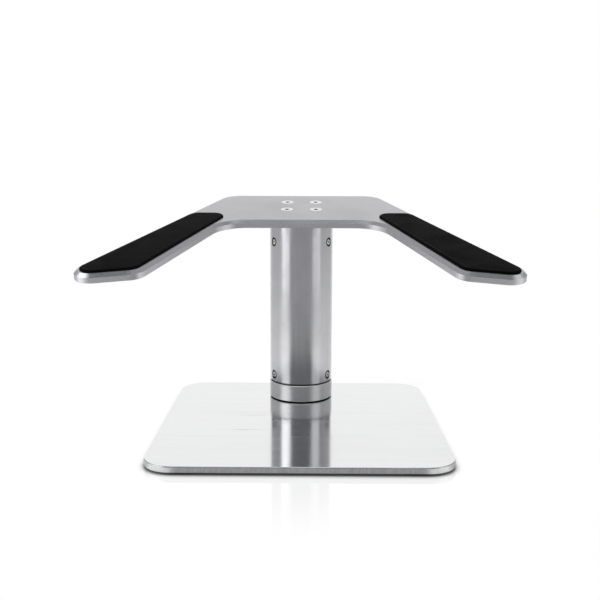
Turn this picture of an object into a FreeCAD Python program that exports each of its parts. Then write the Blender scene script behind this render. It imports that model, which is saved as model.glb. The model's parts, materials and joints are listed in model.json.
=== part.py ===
import FreeCAD, Part
import math
import os
import Sketcher
from FreeCAD import Placement, Rotation, Vector

# A laptop riser: a steel foot plate on four rubber feet, a round column near its rear edge that turns on
# a pivot bolt, and a tilted fork-shaped cradle with two rubber pads.
# Frame: +X to the right, -Y towards the user, +Z up, origin on the desk under the middle of the foot plate.
# All lengths are in millimetres and all angles in degrees.

doc = FreeCAD.newDocument("laptop_riser")
sizes = doc.addObject("Spreadsheet::Sheet", "sizes")

DRIVING_SIZES = [
    # foot plate
    ("base_width", 202),
    ("base_depth", 202),
    ("base_thickness", 4),
    ("base_corner_radius", 19.5),
    ("base_edge_round", 0.7),
    # rubber feet
    ("foot_diameter", 34),
    ("foot_height", 1.5),
    ("foot_inset", 22),
    ("foot_edge_round", 0.6),
    # column, from the desk upwards
    ("column_setback", 37),
    ("gasket_thickness", 0.8),
    ("gasket_bore", 12),
    ("collar_height", 13),
    ("collar_step", 0.4),
    ("collar_edge_break", 0.4),
    ("thrust_washer_thickness", 0.8),
    ("thrust_washer_bore", 13),
    ("seam_recess", 0.9),
    ("tube_diameter", 50),
    ("tube_wall", 3.5),
    ("tube_length", 135),
    ("tube_edge_break", 0.3),
    ("hub_height", 26),
    ("plug_length", 32),
    # swivel pivot
    ("bolt_diameter", 8),
    ("bolt_length", 60),
    ("bolt_head", 15.6),
    ("bolt_socket", 5),
    ("bolt_socket_depth", 2.4),
    ("bush_wall", 2),
    ("bush_flange_diameter", 20),
    ("bush_flange_thickness", 2),
    ("washer_diameter", 20),
    ("washer_thickness", 1.6),
    ("disc_diameter", 18),
    ("disc_thickness", 1),
    ("disc_rise", 0.6),
    ("nut_width", 13),
    ("nut_height", 6.5),
    ("nut_ring_height", 1.5),
    ("nut_ring_wall", 1.6),
    # screws that hold the collar to the foot plate, seen from below
    ("collar_screw_diameter", 4),
    ("collar_screw_head", 8),
    ("collar_screw_length", 13),
    ("collar_screw_socket", 2.5),
    ("collar_screw_socket_depth", 1.3),
    ("collar_screw_circle", 34),
    # socket screws round the two ends of the tube
    ("tube_screw_diameter", 2.5),
    ("tube_screw_length", 8),
    ("tube_screw_head", 4.6),
    ("tube_screw_head_height", 1.8),
    ("tube_screw_head_round", 0.5),
    ("tube_screw_socket", 1.5),
    ("tube_screw_socket_depth", 1),
    ("tube_screw_sink", 1.9),
    ("tube_screw_well", 6.6),
    ("tube_screw_height", 5.8),
    ("tube_screw_drop", 22),
    # cradle plate, measured in its own tilted plane from the column's axis
    ("cradle_tilt", 12),
    ("cradle_thickness", 6),
    ("cradle_bevel", 2.2),
    ("cradle_edge_break", 0.4),
    ("arm_tip_out", 148),
    ("arm_tip_reach", 173),
    ("arm_tip_radius", 12),
    ("arm_inner_out", 98.3),
    ("arm_inner_reach", 159.4),
    ("arm_inner_radius", 15),
    ("notch_half_width", 58),
    ("notch_front", 44),
    ("notch_radius", 26),
    ("cradle_rear_half_width", 62),
    ("cradle_rear_reach", 34),
    ("cradle_rear_radius", 18),
    # screws that hold the cradle plate to the tube's head plug
    ("cradle_screw_diameter", 5),
    ("cradle_screw_head", 10),
    ("cradle_screw_length", 16),
    ("cradle_screw_socket", 3),
    ("cradle_screw_socket_depth", 1.8),
    ("cradle_screw_circle", 32),
    # rubber pads on the arms
    ("pad_thickness", 2.8),
    ("pad_recess", 1),
    ("pad_margin", 3.6),
    ("pad_rear_end", 26),
    ("pad_corner_radius", 8.4),
    ("pad_edge_round", 1.1),
    # clearances
    ("screw_hole_clearance", 0.2),
    ("thread_clearance", 0.02),
    ("sliding_clearance", 0.02),
    ("pivot_clearance", 0.05),
    ("head_clearance", 0.15),
    ("hole_bottom_clearance", 1.5),
    ("pad_clearance", 0.15),
]

for row, (alias, number) in enumerate(DRIVING_SIZES, start=1):
    sizes.set("A%d" % row, alias)
    sizes.set("B%d" % row, str(number))
    sizes.setAlias("B%d" % row, alias)
doc.recompute()

SCREWS_IN_TUBE_RING = 3
SCREWS_IN_COLLAR = 3
SCREWS_IN_CRADLE = 4
# Where the first screw of a ring stands, in degrees from +X; +Y is the rear.
COLLAR_SCREW_TURN = 90
CRADLE_SCREW_TURN = 45

# Heights on the column's axis, and the diameters that several pieces share, as formulas on the sheet.
BASE_TOP = "(sizes.foot_height + sizes.base_thickness)"
COLLAR_BOTTOM = "(%s + sizes.gasket_thickness)" % BASE_TOP
COLLAR_TOP = "(%s + sizes.collar_height)" % COLLAR_BOTTOM
TUBE_BOTTOM = "(%s + sizes.thrust_washer_thickness)" % COLLAR_TOP
HUB_TOP = "(%s + sizes.hub_height)" % TUBE_BOTTOM
FLANGE_TOP = "(%s + sizes.bush_flange_thickness)" % HUB_TOP
WASHER_TOP = "(%s + sizes.washer_thickness)" % FLANGE_TOP
DISC_TOP = "(%s + sizes.disc_thickness + sizes.disc_rise)" % WASHER_TOP
TUBE_TOP = "(%s + sizes.tube_length)" % TUBE_BOTTOM
COLUMN_Y = "(sizes.base_depth / 2 - sizes.column_setback)"

COLLAR_DIAMETER = "(sizes.tube_diameter + 2 * sizes.collar_step)"
TUBE_BORE = "(sizes.tube_diameter - 2 * sizes.tube_wall)"
INSERT_DIAMETER = "(%s - 2 * sizes.sliding_clearance)" % TUBE_BORE
BUSH_BORE = "(sizes.bolt_diameter + 2 * sizes.pivot_clearance)"
BUSH_DIAMETER = "(%s + 2 * sizes.bush_wall)" % BUSH_BORE
BOLT_HOLE = "(sizes.bolt_diameter + 2 * sizes.screw_hole_clearance)"
TUBE_SCREW_SEAT = "(sizes.tube_diameter / 2 - sizes.tube_screw_sink)"


def value(formula):
    """The number that a formula on the sheet comes to."""
    result = sizes.evalExpression(formula)
    return float(getattr(result, "Value", result))


def new_body(name, y="0", z="0"):
    """An empty body whose own origin stands at x = 0 and the given place."""
    body = doc.addObject("PartDesign::Body", name)
    body.Label = name
    body.AllowCompound = True
    body.setExpression("Placement.Base.y", y)
    body.setExpression("Placement.Base.z", z)
    return body


def origin_feature(body, role):
    return [feature for feature in body.Origin.OriginFeatures if feature.Role == role][0]


def new_sketch(body, name, plane="XY_Plane", offset="0"):
    """A sketch on one of the body's own origin planes, moved along that plane's normal."""
    sketch = body.newObject("Sketcher::SketchObject", name)
    sketch.AttachmentSupport = [(origin_feature(body, plane), "")]
    sketch.MapMode = "FlatFace"
    sketch.setExpression("AttachmentOffset.Base.z", offset)
    return sketch


def bind(sketch, kind, places, formula):
    """A dimension of the sketch that follows a formula."""
    index = sketch.addConstraint(Sketcher.Constraint(kind, *places, value(formula)))
    sketch.setExpression("Constraints[%d]" % index, formula)


def add_point_place(sketch, geometry, end, x, y):
    """Ties one point of the sketch to a place measured from the sketch's origin."""
    bind(sketch, "DistanceX", (-1, 1, geometry, end), x)
    bind(sketch, "DistanceY", (-1, 1, geometry, end), y)


def add_circle(sketch, diameter, x="0", y="0"):
    centre = Vector(value(x), value(y), 0)
    circle = sketch.addGeometry(Part.Circle(centre, Vector(0, 0, 1), value(diameter) / 2))
    bind(sketch, "Diameter", (circle,), diameter)
    add_point_place(sketch, circle, 3, x, y)


def add_outline(sketch, corners, construction=False, closed=True):
    """Straight edges through corners given as pairs of formulas; returns the edges' numbers."""
    points = [Vector(value(x), value(y), 0) for x, y in corners]
    ends = points[1:] + points[:1]
    if not closed:
        points = points[:-1]
    edges = [sketch.addGeometry(Part.LineSegment(a, b), construction) for a, b in zip(points, ends)]
    for first, second in zip(edges, edges[1:]):
        sketch.addConstraint(Sketcher.Constraint("Coincident", first, 2, second, 1))
    if closed:
        sketch.addConstraint(Sketcher.Constraint("Coincident", edges[-1], 2, edges[0], 1))
    for edge, (x, y) in zip(edges, corners):
        add_point_place(sketch, edge, 1, x, y)
    if not closed:
        add_point_place(sketch, edges[-1], 2, *corners[-1])
    return edges


def places_round(circle, count, first_turn):
    """Places spaced evenly on a circle of the given diameter, as pairs of formulas."""
    turns = [first_turn + number * 360 / count for number in range(count)]
    arm = "%s / 2" % circle
    return [("%s * cos(%g deg)" % (arm, turn), "%s * sin(%g deg)" % (arm, turn)) for turn in turns]


def add_hexagon(sketch, across_flats, x="0", y="0"):
    across_corners = "(%s / cos(30 deg))" % across_flats
    places = places_round(across_corners, 6, 0)
    add_outline(sketch, [("%s + %s" % (x, out), "%s + %s" % (y, up)) for out, up in places])


def pad_up(body, sketch, length, name):
    feature = body.newObject("PartDesign::Pad", name)
    feature.Profile = sketch
    feature.setExpression("Length", length)
    doc.recompute()
    return feature


def pocket(body, sketch, name, length=None, reverse=False):
    """A cut against the sketch's normal, or along it if reversed; right through where no length is given."""
    before = body.Shape.Volume
    feature = body.newObject("PartDesign::Pocket", name)
    feature.Profile = sketch
    feature.Reversed = reverse
    if length is None:
        feature.Type = "ThroughAll"
    else:
        feature.setExpression("Length", length)
    doc.recompute()
    if not body.Shape.Volume < before:
        raise RuntimeError("%s cuts nothing from %s" % (name, body.Label))
    return feature


def revolve(body, sketch, name):
    """A full turn of a profile about the sketch's own vertical axis."""
    feature = body.newObject("PartDesign::Revolution", name)
    feature.Profile = sketch
    feature.ReferenceAxis = (sketch, ["V_Axis"])
    feature.Angle = 360
    doc.recompute()
    return feature


def repeat_round(body, features, count, name):
    """Copies of the features, spaced evenly round the body's own Z axis."""
    pattern = body.newObject("PartDesign::PolarPattern", name)
    pattern.Originals = features
    pattern.Axis = (origin_feature(body, "Z_Axis"), [""])
    pattern.Angle = 360
    pattern.Occurrences = count
    body.Tip = pattern
    doc.recompute()
    return pattern


def edge_names(body, wanted):
    """The names of the body's edges for which wanted is true."""
    names = ["Edge%d" % number for number, edge in enumerate(body.Tip.Shape.Edges, start=1) if wanted(edge)]
    if not names:
        raise RuntimeError("no edge to dress on %s" % body.Label)
    return names


def dress(body, kind, name, wanted, size_name, formula):
    """A Fillet or Chamfer on the edges for which wanted is true."""
    base = body.Tip
    names = edge_names(body, wanted)
    feature = body.newObject("PartDesign::%s" % kind, name)
    feature.Base = (base, names)
    feature.setExpression(size_name, formula)
    doc.recompute()
    return feature


def round_edges(body, name, wanted, formula):
    return dress(body, "Fillet", name, wanted, "Radius", formula)


def bevel_edges(body, name, wanted, formula):
    return dress(body, "Chamfer", name, wanted, "Size", formula)


NEAR = 1e-4


def is_upright(edge):
    """True for a straight edge along the body's own Z axis."""
    if not isinstance(edge.Curve, Part.Line):
        return False
    start, end = [vertex.Point for vertex in edge.Vertexes]
    return abs(start.x - end.x) < NEAR and abs(start.y - end.y) < NEAR


def lies_at(edge, height):
    """True for an edge that lies wholly at one height of the body."""
    box = edge.BoundBox
    return abs(box.ZMin - height) < NEAR and abs(box.ZMax - height) < NEAR


def is_circle(edge, diameter):
    return isinstance(edge.Curve, Part.Circle) and abs(2 * edge.Curve.Radius - diameter) < NEAR


def make_ring(name, outer, bore, height, z):
    """A plain turned ring on the column's axis."""
    body = new_body(name, COLUMN_Y, z)
    sketch = new_sketch(body, name + "_section")
    add_circle(sketch, outer)
    add_circle(sketch, bore)
    pad_up(body, sketch, height, name + "_ring")
    return body


def make_base_plate():
    body = new_body("base_plate", "0", "sizes.foot_height")
    half_width = "sizes.base_width / 2"
    half_depth = "sizes.base_depth / 2"
    outline = new_sketch(body, "base_outline")
    add_outline(outline, [
        ("-" + half_width, "-" + half_depth),
        (half_width, "-" + half_depth),
        (half_width, half_depth),
        ("-" + half_width, half_depth),
    ])
    pad_up(body, outline, "sizes.base_thickness", "base_sheet")
    round_edges(body, "base_corners", is_upright, "sizes.base_corner_radius")
    top = value("sizes.base_thickness")
    round_edges(body, "base_upper_edge", lambda edge: lies_at(edge, top), "sizes.base_edge_round")

    holes = new_sketch(body, "base_holes")
    screw_hole = "sizes.collar_screw_diameter + 2 * sizes.screw_hole_clearance"
    add_circle(holes, BOLT_HOLE, "0", COLUMN_Y)
    for x, y in places_round("sizes.collar_screw_circle", SCREWS_IN_COLLAR, COLLAR_SCREW_TURN):
        add_circle(holes, screw_hole, x, "%s + %s" % (COLUMN_Y, y))
    pocket(body, holes, "base_drillings", reverse=True)
    for hole, head, name in (
        (BOLT_HOLE, "sizes.bolt_head", "bolt_sink"),
        (screw_hole, "sizes.collar_screw_head", "screw_sinks"),
    ):
        hole_diameter = value(hole)
        depth = "(%s - (%s)) / 2 + sizes.head_clearance" % (head, hole)
        bevel_edges(body, name, lambda edge: lies_at(edge, 0) and is_circle(edge, hole_diameter), depth)
    return body


def make_foot(name, side, end):
    body = new_body(name)
    x = "%d * (sizes.base_width / 2 - sizes.foot_inset)" % side
    y = "%d * (sizes.base_depth / 2 - sizes.foot_inset)" % end
    section = new_sketch(body, name + "_section")
    add_circle(section, "sizes.foot_diameter", x, y)
    pad_up(body, section, "sizes.foot_height", name + "_disc")
    round_edges(body, name + "_lower_edge", lambda edge: lies_at(edge, 0), "sizes.foot_edge_round")
    return body


def make_countersunk_screws(name, y, z, sizes_of, circle, count, first_turn, points_up):
    """Countersunk socket screws round an axis; their heads lie at the body's own z = 0.

    points_up is true where the heads face down and the shanks go up.
    """
    diameter = "sizes.%s_diameter" % sizes_of
    head = "sizes.%s_head" % sizes_of
    body = new_body(name, y, z)
    centre_x, centre_y = places_round(circle, count, first_turn)[0]
    cone_height = "(%s - %s) / 2" % (head, diameter)

    shank_section = new_sketch(body, name + "_shank_section")
    add_circle(shank_section, diameter, centre_x, centre_y)
    shank = pad_up(body, shank_section, "sizes.%s_length" % sizes_of, name + "_shank")
    shank.Reversed = not points_up
    doc.recompute()

    head_section = new_sketch(body, name + "_head_section")
    add_circle(head_section, head, centre_x, centre_y)
    cone = pad_up(body, head_section, cone_height, name + "_head")
    cone.Reversed = not points_up
    cone.setExpression("TaperAngle", "-45")
    doc.recompute()

    socket_section = new_sketch(body, name + "_socket_section")
    add_hexagon(socket_section, "sizes.%s_socket" % sizes_of, centre_x, centre_y)
    socket = pocket(body, socket_section, name + "_socket", "sizes.%s_socket_depth" % sizes_of, points_up)
    if count > 1:
        repeat_round(body, [shank, cone, socket], count, name + "_set")
    return body


def make_collar():
    body = make_ring("fixed_collar", COLLAR_DIAMETER, BOLT_HOLE, "sizes.collar_height", COLLAR_BOTTOM)
    tapping = new_sketch(body, "collar_tapping")
    add_circle(tapping, "sizes.collar_screw_diameter + 2 * sizes.thread_clearance",
               "0", "sizes.collar_screw_circle / 2")
    grip = "sizes.collar_screw_length - sizes.base_thickness - sizes.gasket_thickness"
    hole = pocket(body, tapping, "collar_tapped_hole", grip + " + sizes.hole_bottom_clearance", True)
    repeat_round(body, [hole], SCREWS_IN_COLLAR, "collar_tapped_holes")
    rim = value(COLLAR_DIAMETER)
    bevel_edges(body, "collar_rims", lambda edge: is_circle(edge, rim), "sizes.collar_edge_break")
    return body


def make_gasket():
    body = make_ring("base_gasket", COLLAR_DIAMETER + " - 2 * sizes.seam_recess", "sizes.gasket_bore",
                     "sizes.gasket_thickness", BASE_TOP)
    section = new_sketch(body, "gasket_screw_holes")
    add_circle(section, "sizes.collar_screw_diameter + 2 * sizes.screw_hole_clearance",
               "0", "sizes.collar_screw_circle / 2")
    hole = pocket(body, section, "gasket_screw_hole", reverse=True)
    repeat_round(body, [hole], SCREWS_IN_COLLAR, "gasket_hole_set")
    return body


def make_disc_spring():
    """A coned spring disc: its rim rests on the washer and its eye carries the nut."""
    body = new_body("disc_spring", COLUMN_Y, WASHER_TOP)
    section = new_sketch(body, "disc_section", "XZ_Plane")
    rim = "sizes.disc_diameter / 2"
    eye = BOLT_HOLE + " / 2"
    add_outline(section, [
        (rim, "0"),
        (rim, "sizes.disc_thickness"),
        (eye, "sizes.disc_thickness + sizes.disc_rise"),
        (eye, "sizes.disc_rise"),
    ])
    revolve(body, section, "disc_cone")
    return body


def make_lock_nut():
    """A hexagon nut with the plain ring of a self-locking insert on top."""
    body = new_body("lock_nut", COLUMN_Y, DISC_TOP)
    bore = "sizes.bolt_diameter + 2 * sizes.thread_clearance"
    section = new_sketch(body, "nut_section")
    add_hexagon(section, "sizes.nut_width")
    add_circle(section, bore)
    pad_up(body, section, "sizes.nut_height", "nut_hexagon")
    ring = new_sketch(body, "nut_ring_section", offset="sizes.nut_height")
    add_circle(ring, "sizes.bolt_diameter + 2 * sizes.nut_ring_wall")
    add_circle(ring, bore)
    pad_up(body, ring, "sizes.nut_ring_height", "nut_ring")
    return body


def make_pivot_bush():
    """A flanged bush, seated on the hub and turning on the bolt."""
    body = new_body("pivot_bush", COLUMN_Y, TUBE_BOTTOM)
    section = new_sketch(body, "bush_section", "XZ_Plane")
    inner = BUSH_BORE + " / 2"
    outer = BUSH_DIAMETER + " / 2"
    flange = "sizes.bush_flange_diameter / 2"
    top = "sizes.hub_height + sizes.bush_flange_thickness"
    add_outline(section, [
        (inner, "0"),
        (outer, "0"),
        (outer, "sizes.hub_height"),
        (flange, "sizes.hub_height"),
        (flange, top),
        (inner, top),
    ])
    revolve(body, section, "bush_turning")
    return body


def tap_for_tube_screws(body, height, name):
    """Tapped holes for the ring of tube screws, drilled into an insert from its side."""
    section = new_sketch(body, name + "_tapping", "XZ_Plane", "-(%s - sizes.tube_screw_length"
                         " - sizes.hole_bottom_clearance)" % TUBE_SCREW_SEAT)
    add_circle(section, "sizes.tube_screw_diameter + 2 * sizes.thread_clearance", "0", height)
    hole = pocket(body, section, name + "_tapped_hole")
    repeat_round(body, [hole], SCREWS_IN_TUBE_RING, name + "_tapped_holes")


def make_hub():
    body = make_ring("swivel_hub", INSERT_DIAMETER, BUSH_DIAMETER + " + 2 * sizes.sliding_clearance",
                     "sizes.hub_height", TUBE_BOTTOM)
    tap_for_tube_screws(body, "sizes.tube_screw_height", "hub")
    return body


def cut_mitre(body, name, length):
    """Cuts the upper end of a round piece to the cradle's tilt; length is taken on the axis."""
    reach = "sizes.tube_diameter"
    slope = "%s * tan(sizes.cradle_tilt * 1 deg)" % reach
    section = new_sketch(body, name + "_section", "YZ_Plane", "-" + reach)
    add_outline(section, [
        ("-" + reach, "%s - %s" % (length, slope)),
        (reach, "%s + %s" % (length, slope)),
        (reach, "%s + 2 * %s" % (length, slope)),
        ("-" + reach, "%s + 2 * %s" % (length, slope)),
    ])
    pocket(body, section, name, reverse=True)


MITRE_SPARE = "sizes.tube_diameter / 2 * tan(sizes.cradle_tilt * 1 deg)"


def make_tube():
    body = make_ring("column_tube", "sizes.tube_diameter", TUBE_BORE,
                     "sizes.tube_length + " + MITRE_SPARE, TUBE_BOTTOM)
    cut_mitre(body, "tube_mitre", "sizes.tube_length")
    for end, height in (
        ("foot", "sizes.tube_screw_height"),
        ("head", "sizes.tube_length - sizes.tube_screw_drop"),
    ):
        bore_section = new_sketch(body, end + "_hole_section", "XZ_Plane")
        add_circle(bore_section, "sizes.tube_screw_diameter + 2 * sizes.screw_hole_clearance", "0", height)
        hole = pocket(body, bore_section, end + "_hole")
        well_section = new_sketch(body, end + "_well_section", "XZ_Plane", "-" + TUBE_SCREW_SEAT)
        add_circle(well_section, "sizes.tube_screw_well", "0", height)
        well = pocket(body, well_section, end + "_well")
        repeat_round(body, [hole, well], SCREWS_IN_TUBE_RING, end + "_holes")
    rim = value("sizes.tube_diameter")
    bevel_edges(body, "tube_foot_rim", lambda edge: lies_at(edge, 0) and is_circle(edge, rim),
                "sizes.tube_edge_break")
    return body


def make_tube_screws(name, height):
    """A ring of socket screws whose heads sit in the wells of the tube."""
    body = new_body(name, COLUMN_Y, TUBE_BOTTOM)
    shank_section = new_sketch(body, name + "_shank_section", "XZ_Plane", "-" + TUBE_SCREW_SEAT)
    add_circle(shank_section, "sizes.tube_screw_diameter", "0", height)
    shank = pad_up(body, shank_section, "sizes.tube_screw_length", name + "_shank")
    head_section = new_sketch(body, name + "_head_section", "XZ_Plane", "-" + TUBE_SCREW_SEAT)
    add_circle(head_section, "sizes.tube_screw_head", "0", height)
    head = pad_up(body, head_section, "sizes.tube_screw_head_height", name + "_head")
    head.Reversed = True
    doc.recompute()
    face = "%s + sizes.tube_screw_head_height" % TUBE_SCREW_SEAT
    socket_section = new_sketch(body, name + "_socket_section", "XZ_Plane", "-(%s)" % face)
    add_hexagon(socket_section, "sizes.tube_screw_socket", "0", height)
    socket = pocket(body, socket_section, name + "_socket", "sizes.tube_screw_socket_depth", True)
    repeat_round(body, [shank, head, socket], SCREWS_IN_TUBE_RING, name + "_set")
    head_diameter = value("sizes.tube_screw_head")
    seat = value(TUBE_SCREW_SEAT)

    def is_head_rim(edge):
        if not is_circle(edge, head_diameter):
            return False
        centre = edge.Curve.Center
        return math.hypot(centre.x, centre.y) > seat + NEAR

    round_edges(body, name + "_head_rims", is_head_rim, "sizes.tube_screw_head_round")
    return body


def make_head_plug():
    """A round plug in the tube's upper end, cut to the same mitre and tapped for the cradle's screws."""
    plug_bottom = "(%s - sizes.plug_length)" % TUBE_TOP
    body = new_body("tube_head_plug", COLUMN_Y, plug_bottom)
    section = new_sketch(body, "plug_section")
    add_circle(section, INSERT_DIAMETER)
    pad_up(body, section, "sizes.plug_length + " + MITRE_SPARE, "plug_round")
    cut_mitre(body, "plug_mitre", "sizes.plug_length")
    tap_for_tube_screws(body, "sizes.plug_length - sizes.tube_screw_drop", "plug")

    tapping = body.newObject("Sketcher::SketchObject", "plug_cradle_tapping")
    tapping.AttachmentSupport = [(origin_feature(body, "XY_Plane"), "")]
    tapping.MapMode = "FlatFace"
    tapping.AttachmentOffset = Placement(Vector(), Rotation(Vector(1, 0, 0), value("sizes.cradle_tilt")))
    tapping.setExpression("AttachmentOffset.Base.z", "sizes.plug_length")
    tapping.setExpression("AttachmentOffset.Rotation.Angle", "sizes.cradle_tilt")
    for x, y in places_round("sizes.cradle_screw_circle", SCREWS_IN_CRADLE, CRADLE_SCREW_TURN):
        add_circle(tapping, "sizes.cradle_screw_diameter + 2 * sizes.thread_clearance", x, y)
    depth = "sizes.cradle_screw_length - sizes.cradle_thickness + sizes.hole_bottom_clearance"
    pocket(body, tapping, "plug_cradle_holes", depth)
    return body


def arm_corners(side):
    """The corners of one arm in the cradle's plane, from its rear round the tip to the notch."""
    return [
        ("%d * sizes.cradle_rear_half_width" % side, "sizes.cradle_rear_reach"),
        ("%d * sizes.arm_tip_out" % side, "-sizes.arm_tip_reach"),
        ("%d * sizes.arm_inner_out" % side, "-sizes.arm_inner_reach"),
        ("%d * sizes.notch_half_width" % side, "-sizes.notch_front"),
    ]


def crossing(first, second):
    """Where two lines meet, each given as a point and a direction."""
    (a, along_a), (b, along_b) = first, second
    gap = b - a
    share = (gap.x * along_b.y - gap.y * along_b.x) / (along_a.x * along_b.y - along_a.y * along_b.x)
    return a + along_a * share


def add_rounded_outline(sketch, corners, radius):
    """A closed outline whose corners are arcs tangent to the edges; returns the straight edges' numbers.

    The corners are drawn in place, and the caller ties the straight edges.
    """
    size = value(radius)
    edge_ends = []
    centres = []
    for before, corner, after in zip(corners[-1:] + corners[:-1], corners, corners[1:] + corners[:1]):
        back = (before - corner).normalize()
        ahead = (after - corner).normalize()
        half_angle = back.getAngle(ahead) / 2
        setback = size / math.tan(half_angle)
        edge_ends.append((corner + back * setback, corner + ahead * setback))
        centres.append(corner + (back + ahead).normalize() * (size / math.sin(half_angle)))
    starts = [ahead for back, ahead in edge_ends]
    stops = [back for back, ahead in edge_ends[1:] + edge_ends[:1]]
    edges = [sketch.addGeometry(Part.LineSegment(start, stop)) for start, stop in zip(starts, stops)]
    for number, centre in enumerate(centres):
        came, leaves = [end - centre for end in edge_ends[number]]
        turns_left = came.cross(leaves).z > 0
        first, last = (came, leaves) if turns_left else (leaves, came)
        start_angle = math.atan2(first.y, first.x)
        sweep = (math.atan2(last.y, last.x) - start_angle) % (2 * math.pi)
        circle = Part.Circle(centre, Vector(0, 0, 1), size)
        arc = sketch.addGeometry(Part.ArcOfCircle(circle, start_angle, start_angle + sweep))
        came_end, leaves_end = (1, 2) if turns_left else (2, 1)
        sketch.addConstraint(Sketcher.Constraint("Tangent", edges[number - 1], 2, arc, came_end))
        sketch.addConstraint(Sketcher.Constraint("Tangent", edges[number], 1, arc, leaves_end))
        bind(sketch, "Radius", (arc,), radius)
    return edges


def add_pad_outline(sketch, side, margin, rear_end, radius):
    """The outline of a pad: parallel to the arm's three edges at a margin, and squared off at the rear."""
    arm_formulas = arm_corners(side)
    arm_edges = add_outline(sketch, arm_formulas, construction=True, closed=False)
    arm_points = [Vector(value(x), value(y), 0) for x, y in arm_formulas]
    lines = []
    for start, stop in zip(arm_points, arm_points[1:]):
        along = (stop - start).normalize()
        inward = Vector(along.y, -along.x, 0) * side
        lines.append((start + inward * value(margin), along))
    lines.append((Vector(0, -value(rear_end), 0), Vector(1, 0, 0)))
    corners = [crossing(lines[number - 1], lines[number]) for number in range(len(lines))]
    edges = add_rounded_outline(sketch, corners, radius)
    for pad_edge, arm_edge in zip(edges, arm_edges):
        sketch.addConstraint(Sketcher.Constraint("Parallel", pad_edge, arm_edge))
        bind(sketch, "Distance", (pad_edge, 2, arm_edge), margin)
    sketch.addConstraint(Sketcher.Constraint("Horizontal", edges[-1]))
    bind(sketch, "DistanceY", (-1, 1, edges[-1], 1), "-(%s)" % rear_end)


def tilt_with_cradle(body):
    body.Placement = Placement(body.Placement.Base, Rotation(Vector(1, 0, 0), value("sizes.cradle_tilt")))
    body.setExpression("Placement.Rotation.Angle", "sizes.cradle_tilt")


def make_cradle():
    """The fork-shaped plate: two arms that splay towards the user on either side of a wide notch."""
    body = new_body("cradle_plate", COLUMN_Y, TUBE_TOP)
    tilt_with_cradle(body)
    outline = new_sketch(body, "cradle_outline")
    add_outline(outline, arm_corners(1) + arm_corners(-1)[::-1])
    pad_up(body, outline, "sizes.cradle_thickness", "cradle_sheet")

    for corner, name, formula in (
        (0, "cradle_rear_corners", "sizes.cradle_rear_radius"),
        (1, "arm_tips", "sizes.arm_tip_radius"),
        (2, "arm_inner_corners", "sizes.arm_inner_radius"),
        (3, "notch_corners", "sizes.notch_radius"),
    ):
        x, y = [value(formula_part) for formula_part in arm_corners(1)[corner]]

        def is_here(edge):
            place = edge.Vertexes[0].Point
            return is_upright(edge) and abs(abs(place.x) - x) < NEAR and abs(place.y - y) < NEAR

        round_edges(body, name, is_here, formula)
    top = value("sizes.cradle_thickness")
    bevel_edges(body, "cradle_upper_bevel", lambda edge: lies_at(edge, top), "sizes.cradle_bevel")
    bevel_edges(body, "cradle_lower_break", lambda edge: lies_at(edge, 0), "sizes.cradle_edge_break")

    for side, name in ((1, "right"), (-1, "left")):
        recess = new_sketch(body, name + "_recess_outline", offset="sizes.cradle_thickness")
        add_pad_outline(recess, side, "sizes.pad_margin - sizes.pad_clearance",
                        "sizes.pad_rear_end - sizes.pad_clearance",
                        "sizes.pad_corner_radius + sizes.pad_clearance")
        pocket(body, recess, name + "_recess", "sizes.pad_recess")

    holes = new_sketch(body, "cradle_holes")
    hole = "sizes.cradle_screw_diameter + 2 * sizes.screw_hole_clearance"
    for x, y in places_round("sizes.cradle_screw_circle", SCREWS_IN_CRADLE, CRADLE_SCREW_TURN):
        add_circle(holes, hole, x, y)
    pocket(body, holes, "cradle_drillings", reverse=True)
    hole_diameter = value(hole)
    depth = "(sizes.cradle_screw_head - (%s)) / 2 + sizes.head_clearance" % hole
    bevel_edges(body, "cradle_sinks",
                lambda edge: lies_at(edge, top) and is_circle(edge, hole_diameter), depth)
    return body


def make_cradle_screws():
    """Screws square to the cradle, with their heads flush with its upper face."""
    lift = "sizes.cradle_thickness"
    y = "%s - %s * sin(sizes.cradle_tilt * 1 deg)" % (COLUMN_Y, lift)
    z = "%s + %s * cos(sizes.cradle_tilt * 1 deg)" % (TUBE_TOP, lift)
    body = make_countersunk_screws("cradle_screws", y, z, "cradle_screw", "sizes.cradle_screw_circle",
                                   SCREWS_IN_CRADLE, CRADLE_SCREW_TURN, False)
    tilt_with_cradle(body)
    return body


def make_pad(name, side):
    """A rubber pad, seated in its recess, with a rounded upper edge."""
    body = new_body(name, COLUMN_Y, TUBE_TOP)
    tilt_with_cradle(body)
    floor = "sizes.cradle_thickness - sizes.pad_recess"
    outline = new_sketch(body, name + "_outline", offset=floor)
    add_pad_outline(outline, side, "sizes.pad_margin", "sizes.pad_rear_end", "sizes.pad_corner_radius")
    pad_up(body, outline, "sizes.pad_thickness", name + "_sheet")
    top = value(floor + " + sizes.pad_thickness")
    round_edges(body, name + "_upper_edge", lambda edge: lies_at(edge, top), "sizes.pad_edge_round")
    return body


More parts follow.
